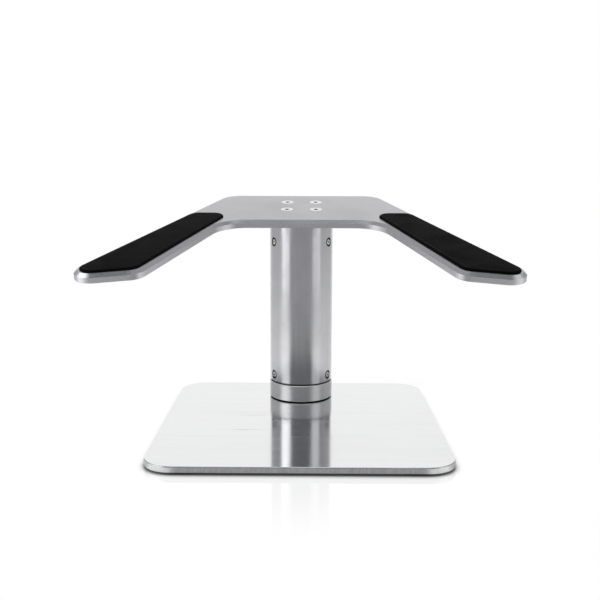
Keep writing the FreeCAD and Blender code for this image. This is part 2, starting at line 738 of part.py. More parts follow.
parts = [
    make_base_plate(),
    make_foot("foot_front_left", -1, -1),
    make_foot("foot_front_right", 1, -1),
    make_foot("foot_rear_left", -1, 1),
    make_foot("foot_rear_right", 1, 1),
    make_gasket(),
    make_collar(),
    make_countersunk_screws("collar_screws", COLUMN_Y, "sizes.foot_height", "collar_screw",
                            "sizes.collar_screw_circle", SCREWS_IN_COLLAR, COLLAR_SCREW_TURN, True),
    make_ring("thrust_washer", "sizes.tube_diameter - 2 * sizes.seam_recess", "sizes.thrust_washer_bore",
              "sizes.thrust_washer_thickness", COLLAR_TOP),
    make_countersunk_screws("pivot_bolt", COLUMN_Y, "sizes.foot_height", "bolt", "0", 1, 0, True),
    make_ring("pivot_washer", "sizes.washer_diameter", BOLT_HOLE, "sizes.washer_thickness", FLANGE_TOP),
    make_disc_spring(),
    make_lock_nut(),
    make_hub(),
    make_pivot_bush(),
    make_tube(),
    make_tube_screws("tube_foot_screws", "sizes.tube_screw_height"),
    make_head_plug(),
    make_tube_screws("tube_head_screws", "sizes.tube_length - sizes.tube_screw_drop"),
    make_cradle(),
    make_cradle_screws(),
    make_pad("pad_left", -1),
    make_pad("pad_right", 1),
]

doc.recompute()
for item in doc.Objects:
    if "Invalid" in item.State or "Error" in item.State:
        raise RuntimeError("%s did not rebuild: %s" % (item.Label, item.State))
for part in parts:
    if part.Shape.isNull() or not part.Shape.isValid() or not part.Shape.Solids:
        raise RuntimeError("%s has no sound solid" % part.Label)

os.makedirs("parts", exist_ok=True)
for part in parts:
    part.Shape.exportStep("parts/%s.step" % part.Label)
    print(part.Label, len(part.Shape.Solids), "solid", round(part.Shape.Volume, 1), "mm3")
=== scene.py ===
import json
import math

import bmesh
import bpy
from mathutils import Matrix, Quaternion, Vector


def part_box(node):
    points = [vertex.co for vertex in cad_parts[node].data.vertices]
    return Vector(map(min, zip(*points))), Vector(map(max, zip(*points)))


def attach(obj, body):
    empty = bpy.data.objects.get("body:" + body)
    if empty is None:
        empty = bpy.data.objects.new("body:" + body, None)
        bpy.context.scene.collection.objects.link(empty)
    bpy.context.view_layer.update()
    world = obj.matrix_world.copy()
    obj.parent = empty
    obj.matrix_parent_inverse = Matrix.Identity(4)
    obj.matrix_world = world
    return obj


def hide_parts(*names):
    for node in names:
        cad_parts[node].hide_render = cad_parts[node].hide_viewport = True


# The looks of a laptop riser: a brushed foot plate, a satin column that turns on its foot, and a
# fork-shaped cradle with rubber pads.
# All lengths are in metres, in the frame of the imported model: +X right, -Y towards the user, +Z up.

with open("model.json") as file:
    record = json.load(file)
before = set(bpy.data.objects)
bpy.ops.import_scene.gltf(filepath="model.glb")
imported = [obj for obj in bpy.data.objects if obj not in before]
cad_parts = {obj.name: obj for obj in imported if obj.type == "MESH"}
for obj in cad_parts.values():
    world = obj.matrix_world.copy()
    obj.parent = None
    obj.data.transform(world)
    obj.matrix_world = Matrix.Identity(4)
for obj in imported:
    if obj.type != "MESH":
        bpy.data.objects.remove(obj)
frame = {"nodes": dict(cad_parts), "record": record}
bpy.context.view_layer.update()
nodes = frame["nodes"]
record = frame["record"]

MM = 0.001
ORIGIN = Vector((0, 0, 0))

# Camera
CAMERA_PLACE = Vector((0.0034, -0.5797, 0.1891))
CAMERA_TURN_LEFT = math.radians(0.39)
CAMERA_LOOK_DOWN = math.radians(9.21)
CAMERA_ROLL = math.radians(0.18)
CAMERA_LENS = 48.17
SENSOR_WIDTH = 36.0
NEAREST_SEEN = 0.01
FARTHEST_SEEN = 20

# Column and plate, from the frame
tube_low, tube_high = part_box("column_tube")
AXIS = Vector(((tube_low.x + tube_high.x) / 2, (tube_low.y + tube_high.y) / 2, 0))
TUBE_RADIUS = (tube_high.x - tube_low.x) / 2
collar_low, collar_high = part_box("fixed_collar")
COLLAR_RADIUS = (collar_high.x - collar_low.x) / 2
plate_low, plate_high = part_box("base_plate")

# Softboxes, with their brightness given so that 1 is white.
# A strip stands on one side, at a turn from the line that runs from the column to the user, and is a dim
# part below a bright one. Path is the table's glow on the way to it, pool that at the plate's corner.
WHITE = 1.0
STRIP_DISTANCE = 0.42
STRIP_HEIGHTS = ((0.03, 0.12), (0.12, 0.51))
STRIPS = {
    "left_strip": {
        "side": -1,
        "turn": math.radians(57.5),
        "widths": (0.22, 0.28),
        "glows": (0.58, 1.42),
        "path": 0.95,
        "pool": 1.3,
    },
    "right_strip": {
        "side": 1,
        "turn": math.radians(56.5),
        "widths": (0.24, 0.24),
        "glows": (0.35, 0.59),
        "path": 0.57,
        "pool": 1.2,
    },
}
TOP_BOX_SIZE = 0.7
TOP_BOX_HEIGHT = 1.1
TOP_BOX_GLOW = 1.0

# The room as the metal sees it. A span runs along the Y or Z share of a direction.
SWEEP = (1.0, 1.0, 1.0)
HIGH_SWEEP = (0.5, 0.5, 0.5)
BESIDE = (0.36, 0.36, 0.37)
USER_SIDE_HIGH = (0.14, 0.145, 0.15)
USER_SIDE_LOW = (0.32, 0.32, 0.33)
USER_FLOOR = (0.52, 0.52, 0.53)
FLOOR_SPAN = (-0.42, -0.25)
LEVEL_SPAN = (-0.06, 0.12)
SIDE_SPAN = (-0.5, 0.3)
SWEEP_SPAN = (0.74, 0.9)
SWEEP_FADE = (0.36, 0.62)

# Table top: its size and polish
TABLE_NEAR = -0.27
TABLE_FAR = 2.4
TABLE_SIDE = 2.0
TABLE_COLOUR = (0.4, 0.4, 0.4, 1)
TABLE_SHINE = 0.05
TABLE_IOR = 1.8

# The table's glow towards the metal: near the user, along the plate, beside the column, on the paths to
# the strips and in a pool at each front corner of the plate
NEAR_GLOW = 0.13
EDGE_GLOW = 0.14
EDGE_FADE = (-0.13, -0.11)
BESIDE_GLOW = 0.38
BESIDE_FADE = (math.radians(64), math.radians(82))
PATH_SPREAD = (math.radians(5), math.radians(29))
POOL_INSET = 0.004
POOL_LEAD = 0.005
POOL_REACH = (0.008, 0.019)

# The table's glow towards the camera, its shadow, and how it fades to plain white away from the part
CAMERA_GLOW = 0.88
CONTACT_SHADOW_REACH = 0.02
CONTACT_SHADOW_SPAN = (0.46, 0.92)
CONTACT_SHADOW_SAMPLES = 16
SHADOW_LEFT = 0.3
CLEAR_FRONT = (-0.115, -0.2)
CLEAR_REAR = (0.101, 0.16)
CLEAR_SIDE = (0.1, 0.108)


# Node trees

# A Mix node's sockets share their names, so they are told apart by number.
MIX_FACTOR = 0
MIX_VALUES = (2, 3)
MIX_COLOURS = (6, 7)
MIXED_VALUE = 0
MIXED_COLOUR = 2


class Tree:
    """Short calls to place and join nodes in one node tree."""

    def __init__(self, tree):
        self.tree = tree

    def feed(self, made, name, source):
        socket = made.inputs[name]
        if isinstance(source, bpy.types.NodeSocket):
            self.tree.links.new(source, socket)
        else:
            socket.default_value = source

    def node(self, kind, settings=None, **sources):
        """A node with settings, and with sources for its sockets: a low line in a name is a space."""
        made = self.tree.nodes.new(kind)
        for name, setting in (settings or {}).items():
            setattr(made, name, setting)
        for name, source in sources.items():
            self.feed(made, name.replace("_", " "), source)
        return made

    def group(self, node_group, **sources):
        return self.node("ShaderNodeGroup", {"node_tree": node_group}, **sources)

    def math(self, operation, *sources):
        made = self.node("ShaderNodeMath", {"operation": operation})
        for number, source in enumerate(sources):
            self.feed(made, number, source)
        return made.outputs[0]

    def vector_math(self, operation, *sources, output="Vector"):
        made = self.node("ShaderNodeVectorMath", {"operation": operation})
        for number, source in enumerate(sources):
            self.feed(made, number, source)
        return made.outputs[output]

    def noise(self, place, scale, **sources):
        return self.node("ShaderNodeTexNoise", Vector=place, Scale=scale, **sources).outputs["Fac"]

    def span(self, source, low, high, to_low=0.0, to_high=1.0):
        """Maps low..high of a value to to_low..to_high, eased and held at the ends."""
        made = self.node("ShaderNodeMapRange", {"interpolation_type": "SMOOTHSTEP"}, Value=source,
                         From_Min=low, From_Max=high, To_Min=to_low, To_Max=to_high)
        return made.outputs["Result"]

    def blend(self, share, first, second):
        """A colour between two, by share."""
        made = self.node("ShaderNodeMix", {"data_type": "RGBA"})
        self.feed(made, MIX_FACTOR, share)
        for number, colour in zip(MIX_COLOURS, (first, second)):
            self.feed(made, number, (*colour, 1) if isinstance(colour, tuple) else colour)
        return made.outputs[MIXED_COLOUR]

    def mix_values(self, share, first, second):
        """A value between two, by share."""
        made = self.node("ShaderNodeMix", {"data_type": "FLOAT"})
        self.feed(made, MIX_FACTOR, share)
        for number, value in zip(MIX_VALUES, (first, second)):
            self.feed(made, number, value)
        return made.outputs[MIXED_VALUE]

    def add_shaders(self, first, second):
        made = self.node("ShaderNodeAddShader")
        self.tree.links.new(first, made.inputs[0])
        self.tree.links.new(second, made.inputs[1])
        return made.outputs[0]

    def mix_shaders(self, share, first, second):
        made = self.node("ShaderNodeMixShader", Fac=share)
        self.tree.links.new(first, made.inputs[1])
        self.tree.links.new(second, made.inputs[2])
        return made.outputs[0]


# Camera and studio


def set_camera():
    camera = bpy.data.cameras.new("riser_camera")
    camera.sensor_fit = "HORIZONTAL"
    camera.sensor_width = SENSOR_WIDTH
    camera.lens = CAMERA_LENS
    camera.clip_start = NEAREST_SEEN
    camera.clip_end = FARTHEST_SEEN
    holder = bpy.data.objects.new("riser_camera", camera)
    bpy.context.collection.objects.link(holder)
    level = math.cos(CAMERA_LOOK_DOWN)
    look = Vector((
        -math.sin(CAMERA_TURN_LEFT) * level,
        math.cos(CAMERA_TURN_LEFT) * level,
        -math.sin(CAMERA_LOOK_DOWN),
    ))
    roll = Quaternion((0, 0, 1), CAMERA_ROLL)
    holder.rotation_mode = "QUATERNION"
    holder.rotation_quaternion = look.to_track_quat("-Z", "Y") @ roll
    holder.location = CAMERA_PLACE
    bpy.context.scene.camera = holder


def add_softbox(name, place, aim, width, height, glow):
    """A rectangular lamp whose face has the given brightness, out of the camera's sight."""
    lamp = bpy.data.lights.new(name, "AREA")
    lamp.shape = "RECTANGLE"
    lamp.size = width
    lamp.size_y = height
    lamp.energy = glow * math.pi * width * height
    holder = bpy.data.objects.new(name, lamp)
    bpy.context.collection.objects.link(holder)
    holder.visible_camera = False
    holder.location = place
    holder.rotation_mode = "QUATERNION"
    holder.rotation_quaternion = (aim - place).to_track_quat("-Z", "Y")


def strip_way(strip):
    """The level direction from the column to a strip."""
    return Vector((strip["side"] * math.sin(strip["turn"]), -math.cos(strip["turn"]), 0))


def add_strips():
    """Upright softboxes beside the column, aimed at its axis, each a dim part below a bright one."""
    for name, strip in STRIPS.items():
        for (foot, head), width, glow in zip(STRIP_HEIGHTS, strip["widths"], strip["glows"]):
            rise = Vector((0, 0, (foot + head) / 2))
            place = AXIS + strip_way(strip) * STRIP_DISTANCE + rise
            add_softbox(name, place, AXIS + rise, width, head - foot, glow)


def set_world():
    """White to the camera. To the metal it is a white sweep straight behind, and a dim room elsewhere."""
    world = bpy.data.worlds.new("studio")
    bpy.context.scene.world = world
    world.use_nodes = True
    world.node_tree.nodes.clear()
    tree = Tree(world.node_tree)
    direction = tree.node("ShaderNodeTexCoord").outputs["Generated"]
    parts = tree.node("ShaderNodeSeparateXYZ", Vector=direction).outputs
    user_side = tree.blend(tree.span(parts["Z"], *FLOOR_SPAN), USER_FLOOR, USER_SIDE_LOW)
    user_side = tree.blend(tree.span(parts["Z"], *LEVEL_SPAN), user_side, USER_SIDE_HIGH)
    room = tree.blend(tree.span(parts["Y"], *SIDE_SPAN), user_side, BESIDE)
    sweep = tree.blend(tree.span(parts["Z"], *SWEEP_FADE), SWEEP, HIGH_SWEEP)
    studio = tree.blend(tree.span(parts["Y"], *SWEEP_SPAN), room, sweep)
    to_camera = tree.node("ShaderNodeLightPath").outputs["Is Camera Ray"]
    colour = tree.blend(to_camera, studio, SWEEP)
    background = tree.node("ShaderNodeBackground", Color=colour, Strength=1.0).outputs[0]
    tree.node("ShaderNodeOutputWorld", Surface=background)


def glow_to_metal(tree, place, depth):
    """The table's glow as the metal sees it, by place on the table. Depth is the Y of that place."""
    around = tree.vector_math("SUBTRACT", AXIS, place)
    around = tree.node("ShaderNodeSeparateXYZ", Vector=around).outputs
    turned = tree.math("ARCTAN2", tree.math("MULTIPLY", around["X"], -1.0), around["Y"])
    beside = tree.span(tree.math("ABSOLUTE", turned), *BESIDE_FADE)
    along_edge = tree.span(depth, *EDGE_FADE, NEAR_GLOW, NEAR_GLOW + EDGE_GLOW)
    glow = tree.math("MULTIPLY_ADD", beside, BESIDE_GLOW, along_edge)
    for strip in STRIPS.values():
        off_path = tree.math("SUBTRACT", turned, strip["side"] * strip["turn"])
        off_path = tree.math("ABSOLUTE", off_path)
        glow = tree.math("ADD", glow, tree.span(off_path, *PATH_SPREAD, strip["path"], 0.0))
        pool = Vector((strip["side"] * (plate_high.x - POOL_INSET), plate_low.y - POOL_LEAD, 0))
        off_pool = tree.vector_math("DISTANCE", place, pool, output="Value")
        glow = tree.math("ADD", glow, tree.span(off_pool, *POOL_REACH, strip["pool"], 0.0))
    return tree.math("MINIMUM", glow, WHITE)


def clear_of_part(tree, parts):
    """A mask for the table away from the part, from its contact shadow and from its mirror image."""
    side_end = tree.math("MAXIMUM", tree.math("ABSOLUTE", parts["Y"]), CLEAR_SIDE[1])
    clear = tree.span(tree.math("ABSOLUTE", parts["X"]), CLEAR_SIDE[0], side_end)
    for fade in (CLEAR_FRONT, CLEAR_REAR):
        clear = tree.math("MAXIMUM", clear, tree.span(parts["Y"], *fade))
    return clear


def white_table_finish():
    """Polished white, which keeps the contact shadow and a faint mirror image, and is clear from below."""
    material = bpy.data.materials.new("white_table")
    material.use_nodes = True
    material.node_tree.nodes.clear()
    tree = Tree(material.node_tree)
    path = tree.node("ShaderNodeLightPath").outputs
    place = tree.node("ShaderNodeTexCoord").outputs["Object"]
    parts = tree.node("ShaderNodeSeparateXYZ", Vector=place).outputs
    uncovered = tree.node("ShaderNodeAmbientOcclusion", {"samples": CONTACT_SHADOW_SAMPLES},
                          Distance=CONTACT_SHADOW_REACH)
    lit_share = tree.span(uncovered.outputs["AO"], *CONTACT_SHADOW_SPAN)
    shade = tree.mix_values(lit_share, SHADOW_LEFT, 1.0)
    to_metal = tree.math("MULTIPLY", glow_to_metal(tree, place, parts["Y"]), shade)
    to_metal = tree.math("MULTIPLY", path["Is Glossy Ray"], to_metal)
    to_camera = tree.math("MULTIPLY", lit_share, CAMERA_GLOW)
    to_camera = tree.math("MULTIPLY", path["Is Camera Ray"], to_camera)
    glow = tree.math("ADD", to_camera, to_metal)
    matt = tree.node("ShaderNodeBsdfDiffuse", Color=TABLE_COLOUR).outputs[0]
    lit = tree.add_shaders(matt, tree.node("ShaderNodeEmission", Strength=glow).outputs[0])
    mirror = tree.node("ShaderNodeBsdfGlossy", Roughness=TABLE_SHINE).outputs[0]
    shine = tree.node("ShaderNodeFresnel", IOR=TABLE_IOR).outputs[0]
    polished = tree.mix_shaders(shine, lit, mirror)
    clear = tree.math("MULTIPLY", clear_of_part(tree, parts), path["Is Camera Ray"])
    plain_white = tree.node("ShaderNodeEmission", Strength=WHITE).outputs[0]
    topside = tree.mix_shaders(clear, polished, plain_white)
    from_below = tree.node("ShaderNodeNewGeometry").outputs["Backfacing"]
    nothing = tree.node("ShaderNodeBsdfTransparent").outputs[0]
    tree.node("ShaderNodeOutputMaterial", Surface=tree.mix_shaders(from_below, topside, nothing))
    return material


def make_table():
    """The level top that the riser stands on."""
    corners = [
        (-TABLE_SIDE, TABLE_NEAR, 0),
        (TABLE_SIDE, TABLE_NEAR, 0),
        (TABLE_SIDE, TABLE_FAR, 0),
        (-TABLE_SIDE, TABLE_FAR, 0),
    ]
    mesh = bpy.data.meshes.new("table_top")
    mesh.from_pydata(corners, [], [(0, 1, 2, 3)])
    mesh.materials.append(white_table_finish())
    table = bpy.data.objects.new("table_top", mesh)
    bpy.context.collection.objects.link(table)


# Effects: node groups that the finishes use

# Between which levels of noise each mask rises
LINE_SPAN = (0.32, 0.68)
SCRATCH_SPAN = (0.66, 0.74)
GRAIN_SPAN = (0.3, 0.7)
SPECK_SPAN = (0.68, 0.8)
MARK_SPAN = (0.42, 0.72)

# How much of the fine noise, and of a broader one, makes the drawn lines
FINE_SHARE = 0.6
BROAD_SHARE = 0.4
BROAD_SCALE = (0.21, 0.21, 0.21)

# The mottle's and the specks' scale against that of the grain and the bumps
MOTTLE_SCALE = 0.09
SPECK_SCALE = 0.7

# The cosines between which an edge counts, and over how much the insides and crevices set in
EDGE_COSINES = (0.995, 0.88)
EDGE_SAMPLES = 4
INSIDE_BLEND = 0.3 * MM
CREVICE_BLEND = 0.3
CREVICE_SAMPLES = 8


def new_group(name, inputs, outputs):
    """An empty node group with named sockets: its tree, its input sockets and its output node."""
    group = bpy.data.node_groups.new(name, "ShaderNodeTree")
    for socket_name, kind, default in inputs:
        socket = group.interface.new_socket(socket_name, in_out="INPUT", socket_type=kind)
        socket.default_value = default
    for socket_name in outputs:
        group.interface.new_socket(socket_name, in_out="OUTPUT", socket_type="NodeSocketFloat")
    tree = Tree(group)
    return tree, tree.node("NodeGroupInput").outputs, tree.node("NodeGroupOutput")


def make_drawn_lines():
    """Fine lines left by an abrasive belt or a turning tool, and the few scratches among them.

    Density gives the lines per metre along X, Y and Z.
    """
    tree, inputs, output = new_group("drawn_lines", [
        ("Place", "NodeSocketVector", (0, 0, 0)),
        ("Density", "NodeSocketVector", (1, 1, 1)),
    ], ["Lines", "Scratches"])
    stretched = tree.vector_math("MULTIPLY", inputs["Place"], inputs["Density"])
    fine = tree.noise(stretched, 1.0, Detail=4.0, Roughness=0.65)
    broad_place = tree.vector_math("MULTIPLY", stretched, BROAD_SCALE)
    broad = tree.noise(broad_place, 1.0, Detail=2.0)
    fine_part = tree.math("MULTIPLY", fine, FINE_SHARE)
    lines = tree.math("ADD", fine_part, tree.math("MULTIPLY", broad, BROAD_SHARE))
    tree.feed(output, "Lines", tree.span(lines, *LINE_SPAN))
    tree.feed(output, "Scratches", tree.span(fine, *SCRATCH_SPAN))
    return tree.tree


def make_fine_grain():
    """Even small grain, as bead blasting leaves it, and a wider mottle. Size is the grain's width."""
    tree, inputs, output = new_group("fine_grain", [
        ("Place", "NodeSocketVector", (0, 0, 0)),
        ("Size", "NodeSocketFloat", 0.001),
    ], ["Grain", "Mottle"])
    scale = tree.math("DIVIDE", 1.0, inputs["Size"])
    grain = tree.noise(inputs["Place"], scale, Detail=3.0)
    tree.feed(output, "Grain", tree.span(grain, *GRAIN_SPAN))
    mottle = tree.noise(inputs["Place"], tree.math("MULTIPLY", scale, MOTTLE_SCALE), Detail=4.0)
    tree.feed(output, "Mottle", tree.span(mottle, *GRAIN_SPAN))
    return tree.tree


def make_pebble():
    """The small rounded bumps of moulded rubber, and specks of dust. Size is a bump's width."""
    tree, inputs, output = new_group("pebble", [
        ("Place", "NodeSocketVector", (0, 0, 0)),
        ("Size", "NodeSocketFloat", 0.001),
    ], ["Height", "Specks"])
    scale = tree.math("DIVIDE", 1.0, inputs["Size"])
    bumps = tree.node("ShaderNodeTexVoronoi", {"feature": "SMOOTH_F1"}, Vector=inputs["Place"], Scale=scale)
    tree.feed(output, "Height", tree.math("SUBTRACT", 1.0, bumps.outputs["Distance"]))
    dust = tree.noise(inputs["Place"], tree.math("MULTIPLY", scale, SPECK_SCALE), Detail=2.0)
    tree.feed(output, "Specks", tree.span(dust, *SPECK_SPAN))
    return tree.tree


def make_handling_marks():
    """Broad faint smudges from hands and cleaning. Size is a smudge's width."""
    tree, inputs, output = new_group("handling_marks", [
        ("Place", "NodeSocketVector", (0, 0, 0)),
        ("Size", "NodeSocketFloat", 0.03),
    ], ["Marks"])
    scale = tree.math("DIVIDE", 1.0, inputs["Size"])
    smudge = tree.noise(inputs["Place"], scale, Detail=5.0, Distortion=0.6)
    tree.feed(output, "Marks", tree.span(smudge, *MARK_SPAN))
    return tree.tree


def make_edge_band():
    """A mask along the edges: wear on the metals, a painted highlight on the rubber and painted shade on the
    tube. Width is how far it reaches from an edge.
    """
    tree, inputs, output = new_group("edge_band", [("Width", "NodeSocketFloat", 0.0005)], ["Edge"])
    rounded = tree.node("ShaderNodeBevel", {"samples": EDGE_SAMPLES}, Radius=inputs["Width"])
    true_normal = tree.node("ShaderNodeNewGeometry").outputs["Normal"]
    agreement = tree.vector_math("DOT_PRODUCT", rounded.outputs["Normal"], true_normal, output="Value")
    tree.feed(output, "Edge", tree.span(agreement, *EDGE_COSINES))
    return tree.tree


def make_inside_shade():
    """A mask for painted shade on bores, wells and rims that lie deeper than Radius, seen from an upright
    axis at Axis.
    """
    tree, inputs, output = new_group("inside_shade", [
        ("Place", "NodeSocketVector", (0, 0, 0)),
        ("Axis", "NodeSocketVector", (0, 0, 0)),
        ("Radius", "NodeSocketFloat", 0.01),
    ], ["Inside"])
    offset = tree.vector_math("SUBTRACT", inputs["Place"], inputs["Axis"])
    flat = tree.vector_math("MULTIPLY", offset, (1, 1, 0))
    distance = tree.vector_math("LENGTH", flat, output="Value")
    full = tree.math("SUBTRACT", inputs["Radius"], INSIDE_BLEND)
    tree.feed(output, "Inside", tree.span(distance, inputs["Radius"], full))
    return tree.tree


def make_crevices():
    """A mask for painted shade in sockets, wells and narrow gaps, found by ambient occlusion.

    Reach is how wide the gaps are, and Start the open share of the view from which they count.
    """
    tree, inputs, output = new_group("crevices", [
        ("Reach", "NodeSocketFloat", 0.001),
        ("Start", "NodeSocketFloat", 0.72),
    ], ["Crevice"])
    view = tree.node("ShaderNodeAmbientOcclusion", {"samples": CREVICE_SAMPLES}, Distance=inputs["Reach"])
    full = tree.math("SUBTRACT", inputs["Start"], CREVICE_BLEND)
    tree.feed(output, "Crevice", tree.span(view.outputs["AO"], inputs["Start"], full))
    return tree.tree


drawn_lines = make_drawn_lines()
fine_grain = make_fine_grain()
pebble = make_pebble()
handling_marks = make_handling_marks()
edge_band = make_edge_band()
inside_shade = make_inside_shade()
crevices = make_crevices()


# Finishes

# The upright share of a face's normal, from a flat face to a side
SIDE_FACING = (0.75, 0.35)

# How far below the tube's and the collar's outer face their inside begins, where their painted shade sets in
TUBE_SKIN = 0.15 * MM
COLLAR_SKIN = 0.9 * MM


class Finish(Tree):
    """A material with one shader, and the place on the piece that its effects read."""

    def __init__(self, name, metallic, **constants):
        self.material = bpy.data.materials.new(name)
        self.material.use_nodes = True
        super().__init__(self.material.node_tree)
        self.shader = self.tree.nodes["Principled BSDF"]
        self.shader.inputs["Metallic"].default_value = metallic
        for socket_name, constant in constants.items():
            self.shader.inputs[socket_name.replace("_", " ")].default_value = constant
        self.place = self.node("ShaderNodeTexCoord").outputs["Object"]

    def effect(self, node_group, **sources):
        """The masks of an effect that follows the place on the piece."""
        return self.group(node_group, Place=self.place, **sources).outputs

    def edge(self, width):
        """The mask along the piece's edges."""
        return self.group(edge_band, Width=width).outputs["Edge"]

    def part_of(self, mask, share):
        return self.math("MULTIPLY", mask, share)

    def vary(self, middle, *shares):
        """A value that starts at middle and goes up by each mask times its share."""
        total = middle
        for mask, share in shares:
            total = self.math("ADD", self.part_of(mask, share), total)
        return total

    def dress(self, colour, roughness, height, depth):
        """Joins the effects to the shader. Height is a 0 to 1 relief, and depth its size."""
        self.feed(self.shader, "Base Color", colour)
        self.feed(self.shader, "Roughness", roughness)
        bump = self.node("ShaderNodeBump", Height=height, Strength=1.0, Distance=depth)
        self.feed(self.shader, "Normal", bump.outputs["Normal"])
        return self.material

    def polish_round(self, axis):
        """Sets the way the polish runs: round an axis."""
        tangent = self.node("ShaderNodeTangent", {"direction_type": "RADIAL", "axis": axis})
        self.feed(self.shader, "Tangent", tangent.outputs[0])


def brushed_plate_finish():
    """Bright steel with a belt finish that runs from side to side, and duller sides ground upwards."""
    dull_line = (0.82, 0.823, 0.828)
    bright_line = (0.86, 0.862, 0.865)
    dull_ground = (0.72, 0.72, 0.73)
    bright_ground = (0.98, 0.98, 0.98)
    rubbed = (0.9, 0.9, 0.9)
    finish = Finish("brushed_plate", 1.0, Anisotropic=0.6)
    finish.polish_round("X")
    normal = finish.node("ShaderNodeNewGeometry").outputs["Normal"]
    upright = finish.node("ShaderNodeSeparateXYZ", Vector=normal).outputs["Z"]
    side = finish.span(finish.math("ABSOLUTE", upright), *SIDE_FACING)
    lines = finish.effect(drawn_lines, Density=(9, 1000, 1000))
    streaks = finish.effect(drawn_lines, Density=(7, 240, 240))
    ground = finish.effect(drawn_lines, Density=(800, 800, 260))
    marks = finish.effect(handling_marks, Size=60 * MM)["Marks"]
    edge = finish.edge(0.6 * MM)
    colour = finish.blend(lines["Lines"], dull_line, bright_line)
    colour = finish.blend(side, colour, finish.blend(ground["Lines"], dull_ground, bright_ground))
    colour = finish.blend(edge, colour, rubbed)
    top_roughness = finish.vary(0.07, (lines["Lines"], 0.06), (streaks["Lines"], 0.05), (marks, 0.015))
    top_roughness = finish.vary(top_roughness, (lines["Scratches"], 0.1), (streaks["Scratches"], 0.3))
    side_roughness = finish.vary(0.34, (ground["Lines"], 0.12))
    roughness = finish.mix_values(side, top_roughness, side_roughness)
    height = finish.mix_values(side, lines["Lines"], ground["Lines"])
    return finish.dress(colour, roughness, height, 0.0012 * MM)


def satin_column_finish():
    """Aluminium tube with a softly clouded satin polish, with painted shade in its bore, its wells and at
    their rims.
    """
    dull_line = (0.76, 0.76, 0.78)
    bright_line = (0.83, 0.83, 0.85)
    clouded = (0.71, 0.71, 0.73)
    dark = (0.02, 0.02, 0.022)
    finish = Finish("satin_column", 1.0)
    clouds = finish.effect(handling_marks, Size=13 * MM)["Marks"]
    lines = finish.effect(drawn_lines, Density=(1100, 1100, 14))["Lines"]
    grain = finish.effect(fine_grain, Size=0.6 * MM)["Grain"]
    # Painted shade: the bore, the screw wells, the gaps that ambient occlusion finds and a band along every
    # edge are painted dark.
    inside = finish.effect(inside_shade, Axis=AXIS, Radius=TUBE_RADIUS - TUBE_SKIN)["Inside"]
    crevice_shade = finish.group(crevices, Reach=2.2 * MM, Start=0.85).outputs["Crevice"]
    rim = finish.edge(1.6 * MM)
    painted_shade = finish.math("MAXIMUM", inside, finish.math("MAXIMUM", crevice_shade, rim))
    colour = finish.blend(lines, dull_line, bright_line)
    colour = finish.blend(finish.part_of(clouds, 0.5), colour, clouded)
    colour = finish.blend(painted_shade, colour, dark)
    roughness = finish.vary(0.18, (clouds, 0.04), (lines, 0.02), (grain, 0.02))
    return finish.dress(colour, roughness, grain, 0.0004 * MM)


def turned_collar_finish():
    """The same aluminium, blasted after turning, so that it is paler and duller than the tube."""
    dull_line = (0.93, 0.93, 0.94)
    bright_line = (0.97, 0.97, 0.98)
    rubbed = (0.98, 0.98, 0.98)
    shaded = (0.3, 0.3, 0.31)
    finish = Finish("turned_collar", 0.85)
    lines = finish.effect(drawn_lines, Density=(12, 12, 1400))["Lines"]
    grain = finish.effect(fine_grain, Size=0.4 * MM)["Grain"]
    edge = finish.edge(0.4 * MM)
    inside = finish.effect(inside_shade, Axis=AXIS, Radius=COLLAR_RADIUS - COLLAR_SKIN)["Inside"]
    colour = finish.blend(lines, dull_line, bright_line)
    colour = finish.blend(edge, colour, rubbed)
    # Painted shade: the bore and the faces below the outer skin are darkened.
    colour = finish.blend(inside, colour, shaded)
    roughness = finish.vary(0.3, (lines, 0.03), (grain, 0.03), (edge, -0.03))
    return finish.dress(colour, roughness, grain, 0.0012 * MM)


def blasted_cradle_finish():
    """Bead-blasted aluminium, rubbed a little brighter along its edges."""
    dull_grain = (0.66, 0.66, 0.68)
    bright_grain = (0.78, 0.78, 0.8)
    rubbed = (0.88, 0.88, 0.89)
    finish = Finish("blasted_cradle", 1.0)
    grain = finish.effect(fine_grain, Size=0.45 * MM)["Grain"]
    marks = finish.effect(handling_marks, Size=50 * MM)["Marks"]
    edge = finish.edge(0.5 * MM)
    colour = finish.blend(grain, dull_grain, bright_grain)
    colour = finish.blend(finish.part_of(edge, 0.7), colour, rubbed)
    roughness = finish.vary(0.27, (grain, 0.06), (marks, 0.05), (edge, -0.05))
    return finish.dress(colour, roughness, grain, 0.003 * MM)


def moulded_rubber_finish():
    """Black rubber with a fine moulded grain, a little greyer along its edges, from wear and as a painted
    highlight.
    """
    deep_black = (0.0025, 0.0025, 0.0027)
    smudged = (0.006, 0.006, 0.0064)
    rubbed = (0.05, 0.05, 0.051)
    dusty = (0.05, 0.05, 0.05)
    finish = Finish("moulded_rubber", 0.0, Specular_IOR_Level=0.04)
    bumps = finish.effect(pebble, Size=0.55 * MM)
    marks = finish.effect(handling_marks, Size=20 * MM)["Marks"]
    edge = finish.edge(0.9 * MM)
    colour = finish.blend(finish.part_of(marks, 0.5), deep_black, smudged)
    # The grey along the edges is wear and also a painted highlight line.
    colour = finish.blend(finish.part_of(edge, 0.9), colour, rubbed)
    colour = finish.blend(finish.part_of(bumps["Specks"], 0.15), colour, dusty)
    roughness = finish.vary(0.62, (marks, 0.1), (edge, -0.08))
    return finish.dress(colour, roughness, bumps["Height"], 0.02 * MM)


